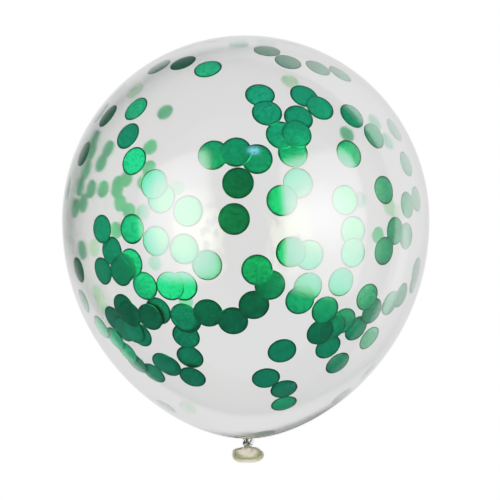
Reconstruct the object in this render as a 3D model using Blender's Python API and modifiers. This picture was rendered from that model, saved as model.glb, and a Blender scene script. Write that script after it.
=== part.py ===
"""A clear latex party balloon, tied off at the neck and lying on its side. Metres, +Z up.

The long axis runs along Y: crown at +Y, knot and rolled lip at -Y. The balloon rests on a small
flat spot, and the origin is on that spot, straight below the widest ring.
"""

import math

import bmesh
import bpy

# Envelope
BALLOON_WIDTH = 0.270
CROWN_LENGTH = 0.1356  # widest ring to the top of the crown
TAPER_LENGTH = 0.1653  # widest ring to where the taper closes over the neck
TAPER_SHOULDER_POWER = 2.05  # 2 leaves the widest ring as an ellipse does
TAPER_END_POWER = 1.587  # under 2 narrows the taper towards the neck
REST_SPOT_DEPTH = 0.0015  # how far the latex is pressed flat where it lies

# Neck and knot
NECK_WIDTH = 0.0062
NECK_FILLET = 0.0022
KNOT_WIDTH = 0.0112
KNOT_HEIGHT = 0.0078
KNOT_STRAND = 0.0034  # thickness of the tied strand
KNOT_TURNS = 2  # passes round the neck
KNOT_CROSSINGS = 3  # times the strand goes over and under itself

# Tail below the knot
LIP_WIDTH = 0.0260  # outer width of the rolled lip
LIP_BEAD = 0.0026  # thickness of the roll
TAIL_LENGTH = 0.0072  # knot to the middle of the roll
TAIL_WALL = 0.0007
TAIL_FLARE_END = math.radians(78)  # 90 would meet the roll square to the axis

# Facets
ROUND_STEPS = 56
CROWN_STEPS = 18
TAPER_STEPS = 22
FILLET_STEPS = 3
FLARE_STEPS = 7
BEAD_STEPS = 9
STRAND_POINTS = 54
STRAND_BEVEL = 2
AXIS_MERGE = 0.00001

# Worked out from the sizes above
BALLOON_RADIUS = BALLOON_WIDTH / 2
NECK_RADIUS = NECK_WIDTH / 2
AXIS_HEIGHT = BALLOON_RADIUS - REST_SPOT_DEPTH
KNOT_MIDDLE = -(TAPER_LENGTH + NECK_FILLET + KNOT_HEIGHT / 2)
KNOT_BOTTOM = KNOT_MIDDLE - KNOT_HEIGHT / 2
BEAD_RADIUS = LIP_BEAD / 2
BEAD_RING = LIP_WIDTH / 2 - BEAD_RADIUS


def clear_scene():
    for obj in list(bpy.data.objects):
        bpy.data.objects.remove(obj, do_unlink=True)


def new_collection(name, shown):
    collection = bpy.data.collections.new(name)
    collection.hide_render = not shown
    bpy.context.scene.collection.children.link(collection)
    return collection


def clear_latex():
    material = bpy.data.materials.new("clear_latex")
    material.use_nodes = True
    shader = material.node_tree.nodes["Principled BSDF"]
    shader.inputs["Base Color"].default_value = (0.86, 0.90, 0.87, 1)
    shader.inputs["Roughness"].default_value = 0.12
    shader.inputs["Metallic"].default_value = 0.0
    shader.inputs["Transmission Weight"].default_value = 0.9
    return material


def crown_profile():
    """Half an ellipse, from the pole down to just above the widest ring."""
    turns = [math.pi / 2 * (1 - step / CROWN_STEPS) for step in range(CROWN_STEPS)]
    return [(BALLOON_RADIUS * math.cos(turn), CROWN_LENGTH * math.sin(turn)) for turn in turns]


def taper_radius(share):
    """Radius at this share of the taper's length below the widest ring."""
    return BALLOON_RADIUS * (1 - share**TAPER_SHOULDER_POWER) ** (1 / TAPER_END_POWER)


def taper_profile():
    """From the widest ring down to where the fillet of the neck takes over."""
    fillet_start = (NECK_RADIUS + NECK_FILLET) / BALLOON_RADIUS
    last_share = (1 - fillet_start**TAPER_END_POWER) ** (1 / TAPER_SHOULDER_POWER)
    last_turn = math.asin(last_share)
    shares = [math.sin(last_turn * step / TAPER_STEPS) for step in range(TAPER_STEPS + 1)]
    return [(taper_radius(share), -TAPER_LENGTH * share) for share in shares]


def neck_profile():
    """A hollow fillet from the underside of the taper into the neck."""
    points = []
    for step in range(1, FILLET_STEPS + 1):
        turn = math.pi / 2 * step / FILLET_STEPS
        radius = NECK_RADIUS + NECK_FILLET * (1 - math.sin(turn))
        points.append((radius, -TAPER_LENGTH - NECK_FILLET * (1 - math.cos(turn))))
    return points


def flare(turn, side):
    """A point of the tail's skirt. Side 1 is its outer face, 0 its middle and -1 its inner face."""
    start = NECK_RADIUS - TAIL_WALL / 2
    spread = (BEAD_RING - start) / (1 - math.cos(TAIL_FLARE_END))
    drop = TAIL_LENGTH / math.sin(TAIL_FLARE_END)
    along = (spread * math.sin(turn), -drop * math.cos(turn))
    length = math.hypot(*along)
    offset = side * TAIL_WALL / 2
    radius = start + spread * (1 - math.cos(turn)) - along[1] / length * offset
    return radius, KNOT_BOTTOM - drop * math.sin(turn) + along[0] / length * offset


def bead_profile():
    """Round the rolled lip, from the skirt's outer face to its inner face."""
    before = flare(TAIL_FLARE_END * 0.99, 0)
    middle = flare(TAIL_FLARE_END, 0)
    outwards = math.atan2(middle[1] - before[1], middle[0] - before[0])
    reach = math.pi - math.asin(TAIL_WALL / LIP_BEAD)
    points = []
    for step in range(BEAD_STEPS + 1):
        turn = outwards + reach * (1 - 2 * step / BEAD_STEPS)
        radius = middle[0] + BEAD_RADIUS * math.cos(turn)
        points.append((radius, middle[1] + BEAD_RADIUS * math.sin(turn)))
    return points


def tail_profile():
    """The skirt's outer face, the rolled lip, and the inner face back up to the closed knot."""
    turns = [TAIL_FLARE_END * step / FLARE_STEPS for step in range(FLARE_STEPS)]
    outer = [flare(turn, 1) for turn in turns]
    inner = [flare(turn, -1) for turn in reversed(turns)]
    return outer + bead_profile() + inner + [(0, KNOT_BOTTOM)]


def turned_envelope(collection):
    """Envelope, neck and tail as one turned body, with its axis laid along Y."""
    profile = crown_profile() + taper_profile() + neck_profile() + tail_profile()
    mesh = bpy.data.meshes.new("balloon")
    shape = bmesh.new()
    corners = [shape.verts.new((max(radius, 0), 0, height)) for radius, height in profile]
    for upper, lower in zip(corners, corners[1:]):
        shape.edges.new((upper, lower))
    shape.to_mesh(mesh)
    shape.free()
    balloon = bpy.data.objects.new("balloon", mesh)
    balloon.rotation_euler = (-math.pi / 2, 0, 0)
    balloon.location = (0, 0, AXIS_HEIGHT)
    collection.objects.link(balloon)
    screw = balloon.modifiers.new("turned", "SCREW")
    screw.steps = ROUND_STEPS
    screw.render_steps = ROUND_STEPS
    screw.use_merge_vertices = True
    screw.merge_threshold = AXIS_MERGE
    screw.use_smooth_shade = True
    return balloon


def knot_point(turn):
    """A point of the strand that winds round the neck, over and under itself."""
    strand_radius = KNOT_STRAND / 2
    swing_across = strand_radius
    swing_along = KNOT_HEIGHT / 2 - strand_radius
    ring = KNOT_WIDTH / 2 - strand_radius - swing_across
    radius = ring + swing_across * math.cos(KNOT_CROSSINGS * turn)
    around = KNOT_TURNS * turn
    along = swing_along * math.sin(KNOT_CROSSINGS * turn)
    return radius * math.cos(around), radius * math.sin(around), along


def knot(helpers):
    """The tied strand, as a closed mesh tube to be joined to the neck."""
    curve = bpy.data.curves.new("knot_strand", "CURVE")
    curve.dimensions = "3D"
    curve.bevel_depth = KNOT_STRAND / 2
    curve.bevel_resolution = STRAND_BEVEL
    spline = curve.splines.new("POLY")
    spline.points.add(STRAND_POINTS - 1)
    for index, point in enumerate(spline.points):
        point.co = (*knot_point(2 * math.pi * index / STRAND_POINTS), 1)
    spline.use_cyclic_u = True
    tube = bpy.data.objects.new("knot_strand", curve)
    tube.rotation_euler = (-math.pi / 2, 0, 0)
    tube.location = (0, KNOT_MIDDLE, AXIS_HEIGHT)
    helpers.objects.link(tube)
    bpy.context.view_layer.update()
    mesh = bpy.data.meshes.new_from_object(tube.evaluated_get(bpy.context.evaluated_depsgraph_get()))
    strand = bpy.data.objects.new("knot", mesh)
    strand.matrix_world = tube.matrix_world
    bpy.data.objects.remove(tube, do_unlink=True)
    helpers.objects.link(strand)
    return strand


def rest_cutter(helpers):
    """Everything below the surface that the balloon lies on."""
    mesh = bpy.data.meshes.new("rest_cutter")
    shape = bmesh.new()
    bmesh.ops.create_cube(shape, size=BALLOON_WIDTH)
    shape.to_mesh(mesh)
    shape.free()
    cutter = bpy.data.objects.new("rest_cutter", mesh)
    cutter.location = (0, 0, -BALLOON_WIDTH / 2)
    helpers.objects.link(cutter)
    return cutter


def add_boolean(target, tool, operation):
    tool.display_type = "WIRE"
    tool.hide_render = True
    boolean = target.modifiers.new(tool.name, "BOOLEAN")
    boolean.operation = operation
    boolean.solver = "EXACT"
    boolean.use_self = operation == "UNION"
    boolean.object = tool


def main():
    clear_scene()
    parts = new_collection("confetti_balloon", shown=True)
    helpers = new_collection("cutters", shown=False)
    balloon = turned_envelope(parts)
    balloon.data.materials.append(clear_latex())
    add_boolean(balloon, knot(helpers), "UNION")
    add_boolean(balloon, rest_cutter(helpers), "DIFFERENCE")


main()
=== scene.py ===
import math
import random

import bmesh
import bpy
from mathutils import Matrix, Vector

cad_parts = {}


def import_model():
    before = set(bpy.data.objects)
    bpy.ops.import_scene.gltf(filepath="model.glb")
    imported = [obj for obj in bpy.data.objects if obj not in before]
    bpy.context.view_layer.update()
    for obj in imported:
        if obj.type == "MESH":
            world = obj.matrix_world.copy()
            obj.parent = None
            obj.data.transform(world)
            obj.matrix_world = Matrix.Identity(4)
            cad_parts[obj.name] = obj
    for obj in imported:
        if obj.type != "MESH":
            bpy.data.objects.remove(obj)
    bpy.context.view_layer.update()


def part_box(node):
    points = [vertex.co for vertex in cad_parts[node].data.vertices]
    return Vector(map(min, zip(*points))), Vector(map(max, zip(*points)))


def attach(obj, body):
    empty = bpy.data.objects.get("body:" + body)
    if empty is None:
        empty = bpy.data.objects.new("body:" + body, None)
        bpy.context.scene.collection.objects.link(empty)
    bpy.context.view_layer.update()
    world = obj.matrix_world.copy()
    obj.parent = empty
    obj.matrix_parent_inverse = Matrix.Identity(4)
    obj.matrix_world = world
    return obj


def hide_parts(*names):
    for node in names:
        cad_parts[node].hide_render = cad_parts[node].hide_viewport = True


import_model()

# Balloon, read from the solid that the scene stands round
LOW, HIGH = (Vector(corner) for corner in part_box("balloon"))
RADIUS = (HIGH.x - LOW.x) / 2
AXIS_HEIGHT = HIGH.z - RADIUS
CROWN_LENGTH = HIGH.y

# Balloon, as the solid was drawn, in metres
TAPER_LENGTH = 0.1653
TAPER_SHOULDER_POWER = 2.05
TAPER_END_POWER = 1.587
NECK_RADIUS = 0.0031
NECK_FILLET = 0.0022
KNOT_WIDTH = 0.0112
KNOT_HEIGHT = 0.0078
STRAND = 0.0017  # the tied strand's radius
LIP_WIDTH = 0.0260
LIP_BEAD = 0.0026
TAIL_LENGTH = 0.0072
KNOT_MIDDLE = -(TAPER_LENGTH + NECK_FILLET + KNOT_HEIGHT / 2)
KNOT_BOTTOM = KNOT_MIDDLE - KNOT_HEIGHT / 2

# Balloon, what only the scene shows of it
FILM = 0.0003  # the envelope's thickness
FILM_SIDES, FILM_ROWS, FILLET_STEPS = 160, 56, 6
STRAND_HALF_WIDTH, STRAND_HALF_THICKNESS = 0.0019, 0.0014
STRAND_STEPS, STRAND_SIDES = 240, 16
STRAND_RIDGES, RIDGE_TWISTS = 5, 9
RIDGE_HEIGHT = 0.06  # as a share of the strand's radius
TAIL_SIDES, FLARE_STEPS, BEAD_STEPS = 120, 18, 20
TAIL_WALL = 0.0006
TAIL_FLARE = math.radians(78)  # how far the skirt has turned outward where the bead starts
PLEATS, PLEAT_DRIFT = 9, 1.3
PLEAT_DEPTH = 0.035  # as a share of the skirt's radius, like the two waves of the lip
LIP_WAVES = ((2, 0.6, 0.035), (5, 0.0, 0.02))  # how many, how far turned round the axis, how high
LIP_SWAY = 0.0005

# Camera: straight above the balloon, which lies with its crown at the top of the picture
PHOTO_SIDE = 500
FOCAL_PIXELS = 451.0
CAMERA_ABOVE_AXIS = 0.358
CAMERA_X = 0.0028
CAMERA_Y = -0.0203
CAMERA_ROLL = math.radians(-0.33)
SENSOR = 36.0
SIGHT_STEPS = 500  # steps along a line of sight, in the search for the wall
HALVINGS = 20  # how often the last of those steps is then halved

# Confetti
DISC_RADIUS = 0.0080
FOIL = 0.00008  # a disc's thickness
DISC_SIDES = 32
DISC_RINGS = (0.25, 0.5, 0.7, 0.84, 0.92, 1.0)  # as shares of its radius
EDGE_SHARE = 0.9  # beyond this share of its radius a disc has the colour of the punched edge
EDGE_DROP = 0.00008  # how far the punched edge bends in from the wall
LAYER = 0.0002  # how much deeper a disc lies that overlaps one against the film
TOUCH_SHARE = 1.9  # discs that are closer than this many radii overlap
TILT = math.radians(1.2)
LOOSENESS = (0.2, 1.0)
BEND = (0.2, 0.9)  # as shares of the wall's own curve
WARP = 1.2  # curve across the bend, per metre
MIDDLING = (0.40, 0.60)  # own tone of a disc in neither list of painted light below, differing at random
# shade marks of the painted highlight and of the painted shade
BRIGHTEST, DARKEST = 1.0, 0.2
COVER_SHADE = 0.08  # painted shade: how much darker a disc is painted where it and another overlap
COVER_BLUR = 0.15  # the share of a disc's radius over which that sets in
COVER_EDGE = 0.7  # how much of the punched edge's colour is lost there
PALENESS = (0.54, 0.58)  # how pale and how little metallic a disc's inward face is; the paleness is partly painted haze, light that the milky film scatters
# inward face of the listed far discs, paler still with painted haze
PALEST = 0.9
SEED = 7

# Confetti on the near wall, by its middle in the photo's pixels; of two that overlap, the
# one named first lies against the film
NEAR_CROWN = [
    (159, 67), (183, 63), (208, 69), (267, 51), (288, 62), (318, 68), (340, 74), (186, 48),
    (213, 41), (289, 43),
]
NEAR_LEFT = [
    (136, 109), (108, 116), (128, 136), (134, 161), (84, 154), (102, 229), (132, 229),
    (121, 272), (124, 268), (112, 251), (103, 271), (131, 263), (145, 286), (170, 286),
    (183, 286), (79, 270), (84, 301), (118, 91), (101, 113), (68, 188), (101.5, 327),
    (115.5, 338.5), (127.5, 352), (137, 363), (154, 184), (161, 198), (188, 211), (156, 241),
    (184, 249), (207, 265),
]
NEAR_MIDDLE = [
    (236, 152), (213, 155), (257, 159), (238, 183), (234, 219), (267, 113), (260, 95),
    (297, 134), (281, 135), (298.5, 118), (320, 108), (304, 96), (293, 153), (257, 270),
    (270, 285), (282, 200.5), (254, 305), (233, 321), (208, 313), (298, 183),
]
NEAR_RIGHT = [
    (352, 116), (349, 154), (374, 136), (394, 130), (406, 164), (384, 190), (380, 94),
    (384, 251), (395, 231), (406, 236), (407, 205), (416, 199), (416, 269.5), (414, 281.5),
    (367, 297), (372, 311), (390, 303), (401, 295), (291, 252), (309, 255), (341, 282),
    (353, 253), (353, 231), (345, 200),
]
NEAR_LOW = [
    (150, 317), (158, 311), (130, 314), (133, 331), (124, 329.5), (114, 318.5), (124, 307),
    (140.5, 334.5), (184, 317), (187, 320), (186, 336), (190, 357), (164.5, 363.5),
    (168.5, 365.5), (154, 373), (192.5, 377), (300, 300), (308, 287), (325, 310), (320, 332),
    (333, 327), (343.5, 321), (356, 328.5), (328, 347), (337.5, 363), (369, 338), (282, 351),
    (266, 378), (284, 389), (284, 403.5), (264, 433), (313, 419), (341, 396), (368, 372),
    (166, 406),
]
# Confetti on the far wall, seen through the balloon
FAR = [
    (239, 44), (267, 42), (290, 81), (135, 91), (165, 112), (150, 147), (94, 139), (91, 152),
    (108, 149), (101, 163), (86, 170), (80, 186), (91, 189), (103, 189), (117, 190),
    (118, 184), (126, 179), (120, 203), (129, 211), (116, 230), (75, 208), (83, 203),
    (82, 250), (177, 188), (143, 212), (149, 168), (144, 182), (155, 263), (188, 408),
    (347, 134), (375, 122), (388, 141), (360, 200), (389, 206), (396, 213), (378, 235),
    (94, 248), (186, 302), (98, 294), (103, 306),
]
# Confetti with light painted into its colour: the first list lighter, a painted highlight, the
# second darker, a painted shade
PAINTED_BRIGHT = [
    (208, 69), (136, 109), (134, 161), (131, 263), (145, 286), (170, 286), (183, 286),
    (257, 270), (101.5, 327), (115.5, 338.5), (127.5, 352), (284, 403.5), (369, 338),
]
PAINTED_DARK = [
    (183, 63), (234, 219), (320, 332), (124, 307), (187, 320), (150, 317), (233, 321),
    (254, 305), (208, 313), (238, 183), (130, 314), (114, 318.5),
]
# Confetti on the far wall whose inward face is painted paler still: painted haze, the light the
# film scatters over it
PALE = [
    (290, 81), (135, 91), (188, 408), (389, 206), (396, 213), (94, 248), (98, 294),
    (103, 306),
]
# Confetti on the far wall that the near wall's hides: one behind each disc that so many steps
# through the lists of the middle, the right and the low end come to
HIDDEN_STEP = 4

# Looks
LATEX_IOR = 1.5
STREAKS = {"scale": 22.0, "detail": 4.0}
FILM_TINT, FILM_ROUGHNESS = (0.930, 0.933, 0.924), 0.06
KNOT_TINT, KNOT_ROUGHNESS = (0.80, 0.80, 0.76), 0.08
STREAK_DEPTH = 0.975
STRETCH_MARKS = {"scale": 420.0, "detail": 3.0}
MARK_SQUEEZE = (1.0, 0.25, 1.0)  # draws the marks out along the balloon's axis
MARK_DEPTH, MARK_BUMP, MARK_RELIEF = 0.22, 0.25, 0.0003
IVORY = {"Roughness": 0.38, "Specular IOR Level": 0.4}
# painted shade: the colour of the knot's dark side, standing in for the dark refractions of the
# bunched latex
KNOT_PAINTED_DARK = (0.03, 0.03, 0.03, 1)
KNOT_DARK_SIDE_EDGE = (0.0006, 0.0022)  # x where the knot's painted dark side, a painted shade, ends and where it is clear
# Ivory colours from the knot to the lip: near black at the knot and darker near it, painted shade
# under the knot, then the latex's own milky, pinkish and yellower tones
MILK_AND_KNOT_SHADE = (
    (0.0, (0.12, 0.12, 0.10, 1)),
    (0.15, (0.52, 0.48, 0.38, 1)),
    (0.8, (0.95, 0.86, 0.72, 1)),
    (1.0, (0.50, 0.48, 0.27, 1)),
)
FOIL_GLOSS = {"Roughness": 0.39, "Specular Tint": (0.75, 1.0, 0.88, 1)}
MOTTLE = {"scale": 600.0, "detail": 3.0}
MOTTLE_DEPTH = 0.4
# Foil colours by the shade mark: its low end painted shade, its high end a painted highlight,
# between them the foil's own tone
FOIL_SHADES = (
    (0.0, (0.003, 0.125, 0.070, 1)),
    (0.5, (0.0075, 0.34, 0.185, 1)),
    (1.0, (0.015, 0.62, 0.30, 1)),
)
FOIL_RIM = (0.002, 0.07, 0.035, 1)
# Colours of a disc's inward face: pale, partly painted haze
FOIL_PALE = (
    (0.5, (0.35, 1.0, 0.72, 1)),
    (1.0, (0.90, 1.0, 1.0, 1)),
)

# Studio
WHITE = (1, 1, 1, 1)
FLOOR_RADIUS = 6.0
FLOOR_DROP = 0.0004  # keeps the floor's face clear of the balloon's flat spot
BARE = 2.0  # brightness of the floor and of the world where the camera sees them bare
BEHIND_FILM = 1.06  # the same where it sees them through the balloon
FILM_CROSSINGS = 2.5  # light that crossed more faces of the film than this met something within
WITHIN_COOL = (0.92, 1.0, 1.15, 1)
WITHIN_WARM = (1.0, 1.15, 0.55, 1)
CORNER_SHARE = 0.16  # how far a softbox's corners are rounded, as a share of its sides
CORNER_SOFTNESS = 0.05  # where in that share it starts to fade
BLUE = (0.29, 0.55, 1.0)
# Tone curve, pairs of a scene value and what is shown for it
SHOULDER = (
    (0.2, 0.2), (0.4, 0.4), (0.6, 0.6), (0.74, 0.70), (1.05, 0.78), (1.4, 0.86), (1.7, 0.92),
)
TONE_TOP = 2.0  # the scene value at the right end of the tone curve


def body_radius(y):
    """The envelope's radius where it crosses this place on the long axis."""
    if y >= 0:
        return RADIUS * math.sqrt(max(1 - (y / CROWN_LENGTH) ** 2, 0))
    share = min(-y / TAPER_LENGTH, 1)
    return RADIUS * (1 - share**TAPER_SHOULDER_POWER) ** (1 / TAPER_END_POWER)


def outward(point):
    """The envelope's normal at this point of it, given from the middle of the widest ring."""
    step = 0.0001
    slope = (body_radius(point.y + step) - body_radius(point.y - step)) / (2 * step)
    across = math.hypot(point.x, point.z)
    return Vector((point.x / across, -slope, point.z / across)).normalized()


def camera_matrix():
    place = Vector((CAMERA_X, CAMERA_Y, AXIS_HEIGHT + CAMERA_ABOVE_AXIS))
    return Matrix.Translation(place) @ Matrix.Rotation(CAMERA_ROLL, 4, "Z")


def wall_point(pixel, far, depth=0.0):
    """Where the line of sight through this pixel is this deep inside the near or the far wall.
    The search goes from half to one and a half times the camera's height above the axis."""
    half = PHOTO_SIDE / 2
    aim = Vector(((pixel[0] - half) / FOCAL_PIXELS, (half - pixel[1]) / FOCAL_PIXELS, -1))
    matrix = camera_matrix()
    start = matrix.translation - Vector((0, 0, AXIS_HEIGHT))
    aim = (matrix.to_3x3() @ aim).normalized()
    grown = 1 + depth / RADIUS

    def inside(distance):
        point = start + distance * aim
        return math.hypot(point.x, point.z) < body_radius(point.y * grown) - depth

    steps = [CAMERA_ABOVE_AXIS * (0.5 + step / SIGHT_STEPS) for step in range(SIGHT_STEPS)]
    held = [distance for distance in steps if inside(distance)]
    if not held:
        return None
    within = held[-1] if far else held[0]
    outer = within + (1 if far else -1) * CAMERA_ABOVE_AXIS / SIGHT_STEPS
    for _ in range(HALVINGS):
        middle = (within + outer) / 2
        if inside(middle):
            within = middle
        else:
            outer = middle
    return start + within * aim


def new_object(name, vertices, faces, material):
    mesh = bpy.data.meshes.new(name)
    mesh.from_pydata(vertices, [], faces)
    mesh.validate()
    mesh.materials.append(material)
    mesh.shade_smooth()
    obj = bpy.data.objects.new(name, mesh)
    bpy.context.scene.collection.objects.link(obj)
    return obj


def turned(profile, sides, inward=False, floor=None):
    """Vertices and faces of a profile of (radius, y) turned about the long axis. It starts and
    ends on the axis. What would lie below floor is pressed flat."""
    vertices = [(0, profile[0][1], AXIS_HEIGHT)]
    for radius, y in profile[1:-1]:
        for side in range(sides):
            turn = 2 * math.pi * side / sides
            height = AXIS_HEIGHT + radius * math.cos(turn)
            if floor is not None:
                height = max(height, floor)
            vertices.append((radius * math.sin(turn), y, height))
    vertices.append((0, profile[-1][1], AXIS_HEIGHT))
    rings = len(profile) - 2
    faces = []
    for side in range(sides):
        after = (side + 1) % sides
        faces.append((0, 1 + side, 1 + after))
        for ring in range(rings - 1):
            here = 1 + ring * sides
            below = here + sides
            faces.append((here + side, below + side, below + after, here + after))
        last = 1 + (rings - 1) * sides
        faces.append((last + side, len(vertices) - 1, last + after))
    if inward:
        faces = [tuple(reversed(face)) for face in faces]
    return vertices, faces


# Nodes

def plug(tree, value, socket):
    """Link another node's output to this socket, or set a constant on it."""
    if isinstance(value, bpy.types.NodeSocket):
        tree.links.new(value, socket)
    elif value is not None:
        socket.default_value = value


def calculated(tree, operation, first, second, clamp=False):
    node = tree.nodes.new("ShaderNodeMath")
    node.operation = operation
    node.use_clamp = clamp
    plug(tree, first, node.inputs[0])
    plug(tree, second, node.inputs[1])
    return node.outputs["Value"]


def product(tree, first, *others):
    for other in others:
        first = calculated(tree, "MULTIPLY", first, other)
    return first


def largest(tree, first, *others):
    for other in others:
        first = calculated(tree, "MAXIMUM", first, other)
    return first


def vector_math(tree, operation, first, second=None):
    node = tree.nodes.new("ShaderNodeVectorMath")
    node.operation = operation
    plug(tree, first, node.inputs[0])
    plug(tree, second, node.inputs[1])
    number = operation in ("LENGTH", "DISTANCE", "DOT_PRODUCT")
    return node.outputs["Value" if number else "Vector"]


def mixed(tree, factor, first, second, kind="FLOAT", blend="MIX"):
    node = tree.nodes.new("ShaderNodeMix")
    node.data_type = kind
    node.blend_type = blend
    plug(tree, factor, node.inputs["Factor"])
    plug(tree, first, node.inputs["A"])
    plug(tree, second, node.inputs["B"])
    return node.outputs["Result"]


def ramp(tree, value, start, end):
    """A smooth change from start, a (place, brightness) pair, to end."""
    change = tree.nodes.new("ShaderNodeMapRange")
    change.interpolation_type = "SMOOTHSTEP"
    change.inputs["From Min"].default_value = start[0]
    change.inputs["From Max"].default_value = end[0]
    change.inputs["To Min"].default_value = start[1]
    change.inputs["To Max"].default_value = end[1]
    tree.links.new(value, change.inputs["Value"])
    return change.outputs["Result"]


def colour_ramp(tree, value, stops):
    """Stops are (place, colour) pairs in rising order."""
    node = tree.nodes.new("ShaderNodeValToRGB")
    points = node.color_ramp.elements
    for point, (place, colour) in zip(points, (stops[0], stops[-1])):
        point.position = place
        point.color = colour
    for place, colour in stops[1:-1]:
        points.new(place).color = colour
    tree.links.new(value, node.inputs["Fac"])
    return node.outputs["Color"]


def coordinates(tree, kind="Object"):
    return tree.nodes.new("ShaderNodeTexCoord").outputs[kind]


def axes(tree, place):
    split = tree.nodes.new("ShaderNodeSeparateXYZ")
    tree.links.new(place, split.inputs["Vector"])
    return split.outputs


def noise(tree, place, scale, detail):
    node = tree.nodes.new("ShaderNodeTexNoise")
    node.inputs["Scale"].default_value = scale
    node.inputs["Detail"].default_value = detail
    tree.links.new(place, node.inputs["Vector"])
    return node.outputs["Fac"]


def attribute(tree, name):
    node = tree.nodes.new("ShaderNodeAttribute")
    node.attribute_name = name
    return node.outputs["Fac"]


# Materials

def node_material(name, constants):
    """A material, its node tree and its shader, with these constants set on the shader."""
    material = bpy.data.materials.new(name)
    material.use_nodes = True
    tree = material.node_tree
    shader = tree.nodes["Principled BSDF"]
    for key, value in constants.items():
        shader.inputs[key].default_value = value
    return material, tree, shader


def clear_latex(name, colour, roughness):
    """See-through latex, faintly streaked where it stretched unevenly."""
    constants = {"Transmission Weight": 1.0, "IOR": LATEX_IOR, "Roughness": roughness}
    material, tree, shader = node_material(name, constants)
    streaks = noise(tree, coordinates(tree), **STREAKS)
    deeper = [value * STREAK_DEPTH for value in colour]
    tint = mixed(tree, streaks, (*deeper, 1), (*colour, 1), "RGBA")
    tree.links.new(tint, shader.inputs["Base Color"])
    return material


def knot_latex():
    """See-through latex, painted dark on its side towards negative x: painted shade for the
    bunched strand's dark refractions.
    """
    material = clear_latex("knot_latex", KNOT_TINT, KNOT_ROUGHNESS)
    tree = material.node_tree
    base = tree.nodes["Principled BSDF"].inputs["Base Color"]
    clear = base.links[0].from_socket
    x = axes(tree, coordinates(tree))["X"]
    side = ramp(tree, x, (KNOT_DARK_SIDE_EDGE[0], 0.0), (KNOT_DARK_SIDE_EDGE[1], 1.0))
    tree.links.new(mixed(tree, side, KNOT_PAINTED_DARK, clear, "RGBA"), base)
    return material


def ivory_latex():
    """Thick unstretched latex: painted shade where it meets the knot, near black there and darker
    near it, then milky, pinkish where it flares and yellower towards the lip, with fine stretch
    marks that run to the lip."""
    material, tree, shader = node_material("ivory_latex", IVORY)
    place = coordinates(tree)
    lip = KNOT_BOTTOM - TAIL_LENGTH
    lipward = ramp(tree, axes(tree, place)["Y"], (KNOT_BOTTOM, 0.0), (lip, 1.0))
    # painted shade at the knot, then the latex's own colours
    milk_and_shade = colour_ramp(tree, lipward, MILK_AND_KNOT_SHADE)
    squeeze = tree.nodes.new("ShaderNodeMapping")
    squeeze.inputs["Scale"].default_value = MARK_SQUEEZE
    tree.links.new(place, squeeze.inputs["Vector"])
    marks = noise(tree, squeeze.outputs["Vector"], **STRETCH_MARKS)
    worn = mixed(tree, MARK_DEPTH, milk_and_shade, marks, "RGBA", "MULTIPLY")
    tree.links.new(worn, shader.inputs["Base Color"])
    bump = tree.nodes.new("ShaderNodeBump")
    bump.inputs["Strength"].default_value = MARK_BUMP
    bump.inputs["Distance"].default_value = MARK_RELIEF
    tree.links.new(marks, bump.inputs["Height"])
    tree.links.new(bump.outputs["Normal"], shader.inputs["Normal"])
    return material


def foil():
    """Green metallised film: mottled, darker along the punched edge, with painted highlight and
    painted shade from the shade mark, paler and more matt on its inward face, a paleness that is
    partly painted haze."""
    material, tree, shader = node_material("green_foil", FOIL_GLOSS)
    mottle = noise(tree, coordinates(tree), **MOTTLE)
    flecks = ramp(tree, mottle, (0.3, 0.0), (0.7, 1.0))
    # painted highlight and painted shade come in here, with the foil's own tone, through the shade
    # mark
    shade = colour_ramp(tree, attribute(tree, "shade"), FOIL_SHADES)
    grain = mixed(tree, MOTTLE_DEPTH, shade, flecks, "RGBA", "MULTIPLY")
    rim = mixed(tree, attribute(tree, "edge"), grain, FOIL_RIM, "RGBA")
    inward = attribute(tree, "inward")
    pale = colour_ramp(tree, inward, FOIL_PALE)
    tree.links.new(mixed(tree, inward, rim, pale, "RGBA"), shader.inputs["Base Color"])
    tree.links.new(calculated(tree, "SUBTRACT", 1.0, inward), shader.inputs["Metallic"])
    return material


# Balloon

def body_profile(inset=0.0):
    """(radius, y) from the crown down to where the fillet of the neck takes over."""
    last = NECK_RADIUS + NECK_FILLET
    profile = []
    for row in range(FILM_ROWS):
        turn = math.pi / 2 * (1 - row / FILM_ROWS)
        y = CROWN_LENGTH * math.sin(turn)
        profile.append((body_radius(y), y))
    end = (1 - (last / RADIUS) ** TAPER_END_POWER) ** (1 / TAPER_SHOULDER_POWER)
    for row in range(FILM_ROWS + 1):
        y = -TAPER_LENGTH * math.sin(math.asin(end) * row / FILM_ROWS)
        profile.append((body_radius(y), y))
    shrink = 1 - inset / RADIUS
    return [(radius * shrink, y * shrink) for radius, y in profile]


def dress(piece):
    """Let a visible piece take the place of the solid."""
    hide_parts("balloon")
    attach(piece, "root")


def envelope(material):
    outer = body_profile()
    for step in range(1, FILLET_STEPS + 1):
        turn = math.pi / 2 * step / FILLET_STEPS
        radius = NECK_RADIUS + NECK_FILLET * (1 - math.sin(turn))
        outer.append((radius, -TAPER_LENGTH - NECK_FILLET * (1 - math.cos(turn))))
    outer.append((NECK_RADIUS * 0.9, KNOT_MIDDLE))
    outer.append((0, KNOT_MIDDLE))
    inner = body_profile(FILM)
    inner.append((0, -TAPER_LENGTH * (1 - FILM / RADIUS)))
    shape, faces = turned(outer, FILM_SIDES, floor=0)
    hollow, inner_faces = turned(inner, FILM_SIDES, inward=True, floor=FILM)
    faces += [tuple(index + len(shape) for index in face) for face in inner_faces]
    dress(new_object("balloon_film", shape + hollow, faces, material))


def knot_point(turn):
    ring = KNOT_WIDTH / 2 - 2 * STRAND
    radius = ring + STRAND * math.cos(3 * turn)
    return Vector((
        radius * math.cos(2 * turn),
        KNOT_MIDDLE + (KNOT_HEIGHT / 2 - STRAND) * math.sin(3 * turn),
        AXIS_HEIGHT - radius * math.sin(2 * turn),
    ))


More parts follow.
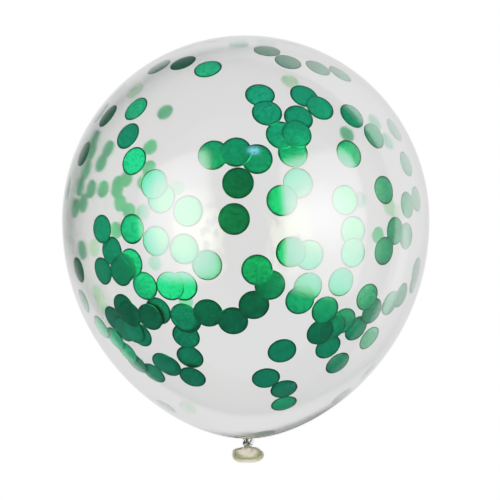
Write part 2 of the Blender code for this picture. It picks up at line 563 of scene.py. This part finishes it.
def knot(material):
    """The tied strand, a flattened tube with stretch ridges along it."""
    vertices, faces = [], []
    for step in range(STRAND_STEPS):
        turn = 2 * math.pi * step / STRAND_STEPS
        place = knot_point(turn)
        ahead = (knot_point(turn + 0.01) - place).normalized()  # a little further along
        away = (place - Vector((0, place.y, AXIS_HEIGHT))).normalized()
        side = ahead.cross(away).normalized()
        away = side.cross(ahead).normalized()
        for corner in range(STRAND_SIDES):
            angle = 2 * math.pi * corner / STRAND_SIDES
            ridge = 1 + RIDGE_HEIGHT * math.cos(STRAND_RIDGES * angle + RIDGE_TWISTS * turn)
            offset = side * math.cos(angle) * STRAND_HALF_WIDTH
            offset += away * math.sin(angle) * STRAND_HALF_THICKNESS
            vertices.append(tuple(place + offset * ridge))
    for step in range(STRAND_STEPS):
        after = (step + 1) % STRAND_STEPS
        for corner in range(STRAND_SIDES):
            beside = (corner + 1) % STRAND_SIDES
            faces.append((
                step * STRAND_SIDES + corner,
                step * STRAND_SIDES + beside,
                after * STRAND_SIDES + beside,
                after * STRAND_SIDES + corner,
            ))
    dress(new_object("knot", vertices, faces, material))


def tail_profile():
    """(radius, y) of the skirt's outside, round the bead and back up the skirt's inside."""
    bead = LIP_BEAD / 2
    start = NECK_RADIUS - TAIL_WALL / 2
    spread = (LIP_WIDTH / 2 - bead - start) / (1 - math.cos(TAIL_FLARE))
    drop = TAIL_LENGTH / math.sin(TAIL_FLARE)

    def skirt(turn, face):
        ahead = (spread * math.sin(turn), -drop * math.cos(turn))
        length = max(math.hypot(*ahead), 1e-9)
        half = face * TAIL_WALL / 2
        radius = start + spread * (1 - math.cos(turn)) - ahead[1] / length * half
        return radius, KNOT_BOTTOM - drop * math.sin(turn) + ahead[0] / length * half

    turns = [TAIL_FLARE * step / FLARE_STEPS for step in range(FLARE_STEPS)]
    middle = skirt(TAIL_FLARE, 0)
    before = skirt(TAIL_FLARE * 0.99, 0)
    heading = math.atan2(middle[1] - before[1], middle[0] - before[0])
    reach = math.pi - math.asin(TAIL_WALL / LIP_BEAD)
    roll = []
    for step in range(BEAD_STEPS + 1):
        angle = heading + reach * (1 - 2 * step / BEAD_STEPS)
        roll.append((middle[0] + bead * math.cos(angle), middle[1] + bead * math.sin(angle)))
    profile = [(0, KNOT_MIDDLE), (NECK_RADIUS * 0.8, KNOT_MIDDLE)]
    profile += [skirt(turn, 1) for turn in turns] + roll
    return profile + [skirt(turn, -1) for turn in reversed(turns)] + [(0, KNOT_BOTTOM)]


def tail(material):
    """The skirt below the knot, pleated where it is gathered, and its rolled lip."""
    vertices, faces = turned(tail_profile(), TAIL_SIDES)
    bent = []
    for x, y, z in vertices:
        across = math.hypot(x, z - AXIS_HEIGHT)
        angle = math.atan2(x, z - AXIS_HEIGHT)
        low = max(0, min(1, (KNOT_BOTTOM - y) / TAIL_LENGTH))
        pleat = math.sin(PLEATS * angle + PLEAT_DRIFT * math.sin(2 * angle)) * PLEAT_DEPTH
        wave = sum(height * math.sin(count * angle + turn) for count, turn, height in LIP_WAVES)
        share = 1 + pleat * (1 - low) * low * 4 + wave * low
        bent.append((
            math.sin(angle) * across * share,
            y + LIP_SWAY * low * math.sin(3 * angle + 1),
            AXIS_HEIGHT + math.cos(angle) * across * share,
        ))
    dress(new_object("tail_lip", bent, faces, material))


# Confetti

def disc_layers(places):
    """How deep each disc lies: one more than the deepest of the earlier discs that it overlaps."""
    layers = []
    for index, place in enumerate(places):
        under = [
            layers[other] + 1
            for other in range(index)
            if (places[other] - place).length < TOUCH_SHARE * DISC_RADIUS
        ]
        layers.append(max(under, default=0))
    return layers


def disc_faces(base):
    """Faces of a disc whose first vertex has this index: its outward side, its inward side and
    the edge between them."""
    count = 1 + len(DISC_RINGS) * DISC_SIDES
    faces = []
    for start, flip in ((base, False), (base + count, True)):
        for side in range(DISC_SIDES):
            after = (side + 1) % DISC_SIDES
            made = [(start, start + 1 + side, start + 1 + after)]
            for ring in range(len(DISC_RINGS) - 1):
                here = start + 1 + ring * DISC_SIDES
                out = here + DISC_SIDES
                made.append((here + side, out + side, out + after, here + after))
            faces.extend(tuple(reversed(face)) if flip else face for face in made)
    top = base + count - DISC_SIDES
    bottom = top + count
    for side in range(DISC_SIDES):
        after = (side + 1) % DISC_SIDES
        faces.append((top + side, bottom + side, bottom + after, top + after))
    return faces


def disc_mesh(pixel, far, layer, others, draw, vertices, faces, marks):
    """One thin foil disc against the inside of the wall, a little tilted and bent. Shade is
    painted into its colour where it and one of the others overlap, and a painted highlight or
    painted shade if it is in one of the lists of painted light."""
    looseness = draw.uniform(*LOOSENESS)
    tilt = TILT * draw.uniform(-1, 1) * looseness
    bend = draw.uniform(*BEND) / (2 * RADIUS)
    warp = draw.uniform(-WARP, WARP)
    spin = draw.uniform(0, 2 * math.pi)
    shade = draw.uniform(*MIDDLING)
    # painted highlight or painted shade for the discs in the two lists of painted light
    if pixel in PAINTED_BRIGHT or pixel in PAINTED_DARK:
        shade = BRIGHTEST if pixel in PAINTED_BRIGHT else DARKEST
    # paleness of the inward face, partly painted haze
    paleness = PALEST if pixel in PALE else draw.uniform(*PALENESS)
    sag = DISC_RADIUS**2 / (2 * RADIUS)
    depth = FILM + FOIL + sag + layer * LAYER + abs(math.sin(tilt)) * DISC_RADIUS
    place = wall_point(pixel, far, depth)
    if place is None:
        return
    normal = outward(place)
    first = Matrix.Rotation(spin, 3, normal) @ normal.orthogonal().normalized()
    second = normal.cross(first)
    centre = place + Vector((0, 0, AXIS_HEIGHT))

    def corner(radius, angle, face):
        u, v = radius * math.cos(angle), radius * math.sin(angle)
        height = -bend * u * u + warp * v * v + math.tan(tilt) * u + face * FOIL / 2
        if radius == DISC_RADIUS:
            height -= EDGE_DROP
        point = centre + first * u + second * v + normal * height
        point.z = max(point.z, FILM + FOIL * (1 - face / 2))
        return tuple(point)

    def mark(radius, angle, face):
        spot = place + first * radius * math.cos(angle) + second * radius * math.sin(angle)
        reach = [(DISC_RADIUS - (other - spot).length) / (COVER_BLUR * DISC_RADIUS)
                 for other in others]
        cover = max(0, min(1, max(reach, default=-1) + 0.5))
        edge = float(radius > EDGE_SHARE * DISC_RADIUS) * (1 - COVER_EDGE * cover)
        # inward paleness, partly painted haze
        inward = paleness if face == -1 else 0.0
        # the shade mark is painted darker where this disc overlaps another: painted shade
        return edge, inward, shade - COVER_SHADE * cover

    faces.extend(disc_faces(len(vertices)))
    for face in (1, -1):
        vertices.append(corner(0, 0, face))
        marks.append(mark(0, 0, face))
        for share in DISC_RINGS:
            for side in range(DISC_SIDES):
                angle = 2 * math.pi * side / DISC_SIDES
                vertices.append(corner(share * DISC_RADIUS, angle, face))
                marks.append(mark(share * DISC_RADIUS, angle, face))


def confetti(name, pixels, far, material, draw):
    pixels = [pixel for pixel in pixels if wall_point(pixel, far)]
    places = [wall_point(pixel, far) for pixel in pixels]
    vertices, faces, marks = [], [], []
    for pixel, place, layer in zip(pixels, places, disc_layers(places)):
        others = [other for other in places if 0 < (other - place).length < 2 * DISC_RADIUS]
        disc_mesh(pixel, far, layer, others, draw, vertices, faces, marks)
    piece = new_object(name, vertices, faces, material)
    for kind, values in zip(("edge", "inward", "shade"), zip(*marks)):
        piece.data.attributes.new(kind, "FLOAT", "POINT").data.foreach_set("value", values)
    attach(piece, "root")


# Studio

def softbox_glow(tree, hot, stretch, core):
    """How bright each place of a softbox is. Its corners are round, and it is brighter round its
    hot spot, given as shares of its two sides. Stretch shortens distances from the spot, core is
    how steeply it fades."""
    spot = tree.nodes.new("ShaderNodeNewGeometry").outputs["Parametric"]
    apart = vector_math(tree, "SUBTRACT", spot, (*hot, 0.0))
    apart = vector_math(tree, "MULTIPLY", apart, (*stretch, 0.0))
    apart = vector_math(tree, "LENGTH", apart)
    beyond = 0.5 - CORNER_SHARE
    folded = vector_math(tree, "ABSOLUTE", vector_math(tree, "SUBTRACT", spot, (0.5, 0.5, 0.0)))
    corner = vector_math(tree, "SUBTRACT", folded, (beyond, beyond, 0.0))
    corner = vector_math(tree, "LENGTH", vector_math(tree, "MAXIMUM", corner, (0.0, 0.0, 0.0)))
    return product(
        tree,
        ramp(tree, apart, (0.0, 1.0), (0.25, core[0])),
        ramp(tree, apart, (0.05, core[1]), (0.70, core[2])),
        ramp(tree, corner, (CORNER_SOFTNESS, 1.0), (CORNER_SHARE, 0.0)),
    )


def softbox(name, edges, y_middle, y_length, turn, radiance, hot, stretch, core):
    """A rectangular lamp between two long edges, each given by its x and its height above the
    balloon's axis. What the confetti mirrors of it through the film is warmer."""
    (x, z), (end_x, end_z) = edges
    across = math.hypot(end_x - x, end_z - z)
    light = bpy.data.lights.new(name, "AREA")
    light.shape = "RECTANGLE"
    light.size = across
    light.size_y = y_length
    light.energy = radiance * math.pi * across * y_length
    light.use_nodes = True
    tree = light.node_tree
    emission = tree.nodes["Emission"]
    tree.links.new(softbox_glow(tree, hot, stretch, core), emission.inputs["Strength"])
    crossed = tree.nodes.new("ShaderNodeLightPath").outputs["Transmission Depth"]
    within = calculated(tree, "GREATER_THAN", crossed, FILM_CROSSINGS)
    warm = mixed(tree, within, WHITE, WITHIN_WARM, "RGBA")
    tree.links.new(warm, emission.inputs["Color"])
    lamp = bpy.data.objects.new(name, light)
    sideways = Vector((end_x - x, 0, end_z - z)).normalized()
    along = Vector((0, 1, 0))
    back = sideways.cross(along)
    middle = Vector(((x + end_x) / 2, y_middle, (z + end_z) / 2))
    if back.dot(middle) < 0:
        sideways, back = -sideways, -back
    spun = Matrix.Rotation(turn, 3, back) @ Matrix((sideways, along, back)).transposed()
    lift = Vector((0, 0, AXIS_HEIGHT))
    lamp.matrix_world = Matrix.Translation(middle + lift) @ spun.to_4x4()
    lamp.visible_camera = False
    lamp.visible_diffuse = False
    bpy.context.scene.collection.objects.link(lamp)


def round_lamp(name, place, size, radiance, colour):
    """A small elliptical lamp that faces the balloon's middle and fades towards its rim."""
    light = bpy.data.lights.new(name, "AREA")
    light.shape = "ELLIPSE"
    light.size, light.size_y = size
    light.energy = radiance * math.pi * size[0] * size[1]
    light.color = colour
    light.use_nodes = True
    tree = light.node_tree
    spot = tree.nodes.new("ShaderNodeNewGeometry").outputs["Parametric"]
    apart = vector_math(tree, "DISTANCE", spot, (0.5, 0.5, 0.0))
    glow = ramp(tree, apart, (0.10, 1.3), (0.50, 0.1))
    tree.links.new(glow, tree.nodes["Emission"].inputs["Strength"])
    lamp = bpy.data.objects.new(name, light)
    facing = Vector(place).to_track_quat("Z", "Y").to_matrix().to_4x4()
    lift = Vector((0, 0, AXIS_HEIGHT))
    lamp.matrix_world = Matrix.Translation(Vector(place) + lift) @ facing
    lamp.visible_camera = False
    bpy.context.scene.collection.objects.link(lamp)
    return lamp


def backdrop(tree, kind, straight, outer, inner):
    """A shader that is as bright as straight where the camera sees it bare. What the film's
    outside mirrors is as bright as outer. What the confetti and the far wall mirror through the
    film is as bright as inner, and cool."""
    path = tree.nodes.new("ShaderNodeLightPath").outputs
    mirrors = calculated(tree, "SUBTRACT", path["Glossy Depth"], path["Diffuse Depth"], clamp=True)
    within = calculated(tree, "GREATER_THAN", path["Transmission Depth"], FILM_CROSSINGS)
    direct = mixed(tree, path["Is Camera Ray"], BEHIND_FILM, straight)
    strength = mixed(tree, mirrors, direct, mixed(tree, within, outer, inner))
    cool = product(tree, within, mirrors)
    shader = tree.nodes.new(kind)
    tree.links.new(strength, shader.inputs["Strength"])
    tree.links.new(mixed(tree, cool, WHITE, WITHIN_COOL, "RGBA"), shader.inputs["Color"])
    return shader.outputs[0]


def tone():
    """Straight up to a light grey, then a soft shoulder, as the photo's highlights have."""
    view = bpy.context.scene.view_settings
    view.view_transform = "Standard"
    view.use_curve_mapping = True
    mapping = view.curve_mapping
    mapping.white_level = (TONE_TOP, TONE_TOP, TONE_TOP)
    for value, shown in SHOULDER:
        mapping.curves[3].points.new(value / TONE_TOP, shown)
    mapping.update()


def pool(tree, centre, start, end):
    """A brightness on the floor that changes with the distance from this centre."""
    apart = vector_math(tree, "DISTANCE", coordinates(tree), (*centre, 0.0))
    return ramp(tree, apart, start, end)


def floor():
    """A floor that is white where it is seen bare and has a soft shade under the balloon. It
    takes no lamp's light: pools of brightness on it make what the balloon mirrors."""
    mesh = bpy.data.meshes.new("floor")
    shape = bmesh.new()
    bmesh.ops.create_circle(shape, cap_ends=True, radius=FLOOR_RADIUS, segments=96)
    shape.to_mesh(mesh)
    shape.free()
    piece = bpy.data.objects.new("floor", mesh)
    piece.location.z = -FLOOR_DROP
    bpy.context.scene.collection.objects.link(piece)
    material, tree, _ = node_material("floor", {})
    balloon, table = (0.0, 0.0), (1.6, 0.5)
    straight = pool(tree, balloon, (0.02, 0.6), (0.19, BARE))
    crown_pool = pool(tree, (0.10, 0.10), (0.28, 1.15), (0.57, 0.07))
    knot_pool = pool(tree, (-0.08, -0.32), (0.27, 1.2), (0.48, 0.07))
    table_pool = pool(tree, table, (1.0, 1.9), (1.9, 0.07))
    right_pool = pool(tree, (0.95, -0.2), (0.15, 2.9), (0.62, 0.07))
    far_right = ramp(tree, axes(tree, coordinates(tree))["X"], (1.0, 0.07), (2.2, 0.5))
    neck_shade = pool(tree, (0.05, -0.27), (0.05, 0.35), (0.15, 1.0))
    outer = largest(tree, crown_pool, knot_pool, table_pool, right_pool, far_right)
    outer = product(tree, outer, neck_shade)
    left_within = pool(tree, (-0.47, -0.40), (0.10, 1.7), (0.34, 0.3))
    far_within = pool(tree, balloon, (0.7, 0.3), (1.5, 1.4))
    table_within = pool(tree, table, (1.0, 0.7), (1.6, 0.3))
    inner = largest(tree, left_within, far_within, table_within)
    lit = backdrop(tree, "ShaderNodeEmission", straight, outer, inner)
    tree.links.new(lit, tree.nodes["Material Output"].inputs["Surface"])
    mesh.materials.append(material)


def lamps():
    softbox(
        "softbox_right",
        edges=((0.270, 0.861), (0.760, 0.313)),
        y_middle=0.01,
        y_length=1.06,
        turn=math.radians(4),
        radiance=5.6,
        hot=(0.44, 0.52),
        stretch=(0.6, 1.0),
        core=(0.50, 2.9, 0.75),
    )
    softbox(
        "softbox_left",
        edges=((-0.925, 0.557), (-0.148, 0.659)),
        y_middle=0.045,
        y_length=0.90,
        turn=math.radians(8),
        radiance=5.15,
        hot=(0.64, 0.48),
        stretch=(1.0, 1.0),
        core=(0.88, 2.3, 0.35),
    )
    blue = round_lamp(
        "blue_lamp",
        place=(0.062, 0.480, 0.715),
        size=(0.125, 0.086),
        radiance=5.6,
        colour=BLUE,
    )
    blue.visible_diffuse = False
    fill = round_lamp(
        "fill_lamp",
        place=(-0.25, -0.3, 0.75),
        size=(0.4, 0.4),
        radiance=9.0,
        colour=WHITE[:3],
    )
    fill.visible_glossy = False
    fill.visible_transmission = False


def world():
    surround = bpy.data.worlds.new("studio")
    bpy.context.scene.world = surround
    surround.use_nodes = True
    surround.cycles.sampling_method = "NONE"
    tree = surround.node_tree
    place = coordinates(tree, "Generated")
    sides = axes(tree, place)
    outer = product(
        tree,
        ramp(tree, sides["X"], (0.70, 0.06), (0.96, 1.4)),
        ramp(tree, sides["Z"], (0.0, 0.4), (0.2, 1.0)),
    )
    leftward = vector_math(tree, "DOT_PRODUCT", place, (-0.75, -0.66, 0.0))
    inner = product(
        tree,
        ramp(tree, sides["Z"], (0.55, 1.3), (0.9, 0.05)),
        ramp(tree, sides["Y"], (-1.0, 0.8), (1.0, 1.25)),
        ramp(tree, sides["X"], (0.4, 1.0), (1.0, 0.5)),
        ramp(tree, leftward, (0.6, 1.0), (1.0, 0.6)),
    )
    around = backdrop(tree, "ShaderNodeBackground", BARE, outer, inner)
    tree.links.new(around, tree.nodes["World Output"].inputs["Surface"])


def camera():
    data = bpy.data.cameras.new("camera")
    data.sensor_width = SENSOR
    data.lens = FOCAL_PIXELS / PHOTO_SIDE * SENSOR
    data.clip_start = 0.01
    data.dof.use_dof = False
    obj = bpy.data.objects.new("camera", data)
    obj.matrix_world = camera_matrix()
    bpy.context.scene.collection.objects.link(obj)
    bpy.context.scene.camera = obj


tone()
camera()
floor()
lamps()
world()
envelope(clear_latex("clear_latex", FILM_TINT, FILM_ROUGHNESS))
knot(knot_latex())
tail(ivory_latex())
green = foil()
draw = random.Random(SEED)
near_pixels = NEAR_CROWN + NEAR_LEFT + NEAR_MIDDLE + NEAR_RIGHT + NEAR_LOW
confetti("confetti_near", near_pixels, False, green, draw)
hidden = (NEAR_MIDDLE + NEAR_RIGHT + NEAR_LOW)[::HIDDEN_STEP]
confetti("confetti_far", FAR + hidden, True, green, draw)
